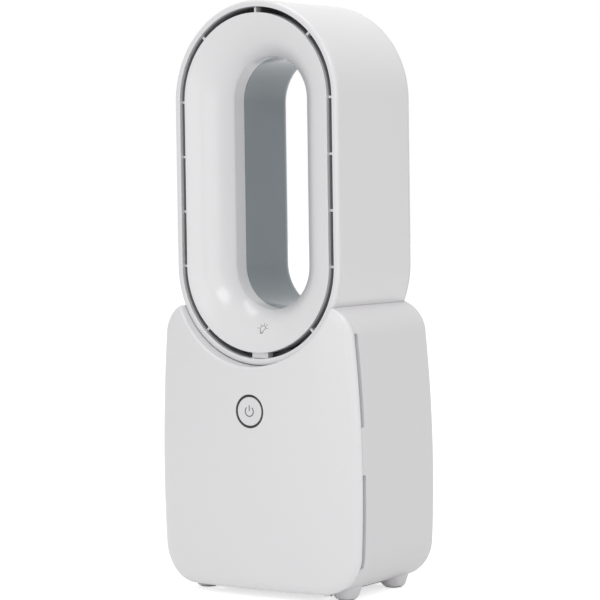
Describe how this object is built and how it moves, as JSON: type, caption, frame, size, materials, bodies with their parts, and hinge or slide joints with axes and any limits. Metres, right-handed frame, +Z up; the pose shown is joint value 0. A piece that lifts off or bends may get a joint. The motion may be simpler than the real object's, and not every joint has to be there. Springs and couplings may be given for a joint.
{
  "type": "bladeless fan",
  "caption": "Upright desk fan with a stadium-shaped air loop set in a boxy white body, hidden impeller, push button and four feet.",
  "frame": {"origin": "on the ground under the middle of the bounding box", "axes": "+Z up, -Y towards the front, +X to the right of someone looking at the front"},
  "size_m": [0.163, 0.1058, 0.4002],
  "materials": {
    "white_gloss": "smooth moulded white plastic with a soft gloss",
    "white_satin": "fine satin white plastic",
    "grey_diffuser": "smooth blue-grey translucent plastic, unlit",
    "led_board": "white lacquered lamp strip",
    "button_white": "gloss white plastic with a printed symbol",
    "black_plastic": "fine matt black plastic",
    "inner_grey": "plain moulded grey plastic",
    "black_rubber": "matt elastomer",
    "circuit_board": "green lacquered board",
    "motor_steel": "plain turned steel",
    "contact_metal": "copper and brass"
  },
  "bodies": {
    "root": {"head_shell": "white_gloss", "head_funnel": "white_gloss", "loop_liner": "grey_diffuser", "head_rear_cover": "white_gloss", "led_strip": "led_board", "lamp_touch_pad": "contact_metal", "body_housing": "white_satin", "rear_grille": "white_satin", "front_panel": "white_gloss", "button_bezel": "black_plastic", "switch_body": "black_plastic", "button_board": "circuit_board", "fan_bracket": "inner_grey", "damper_ring": "black_rubber", "inlet_ring": "inner_grey", "impeller_shroud": "inner_grey", "motor_pod": "inner_grey", "motor_can": "motor_steel", "motor_end_cap": "motor_steel", "lower_bearing": "motor_steel", "upper_bearing": "motor_steel", "motor_stator": "contact_metal", "air_duct": "inner_grey", "control_board": "circuit_board", "power_inlet": "black_plastic", "base_plate": "inner_grey", "foot_front_left": "white_satin", "foot_pad_front_left": "black_rubber", "foot_front_right": "white_satin", "foot_pad_front_right": "black_rubber", "foot_rear_left": "white_satin", "foot_pad_rear_left": "black_rubber", "foot_rear_right": "white_satin", "foot_pad_rear_right": "black_rubber", "base_screw_1": "motor_steel", "base_screw_2": "motor_steel", "base_screw_3": "motor_steel", "base_screw_4": "motor_steel"},
    "rotor": {"impeller": "black_plastic", "spinner_nut": "black_plastic", "motor_shaft": "motor_steel", "rotor_magnet": "black_plastic"},
    "button": {"button_cap": "button_white"},
    "plunger": {"switch_plunger": "inner_grey"}
  },
  "joints": [
    {"name": "impeller_spin", "type": "hinge", "parent": "root", "child": "rotor", "pos_m": [0, 0.0054, 0.066], "axis": [0, 0, 1], "continuous": true},
    {"name": "button_press", "type": "slide", "parent": "root", "child": "button", "axis": [0, 1, 0], "range_m": [0, 0.001], "stiffness_N_per_m": 800},
    {"name": "plunger_press", "type": "slide", "parent": "root", "child": "plunger", "axis": [0, 1, 0], "range_m": [0, 0.001]}
  ],
  "couplings": [
    {"joint": "plunger_press", "follows": "button_press", "ratio": 1}
  ]
}
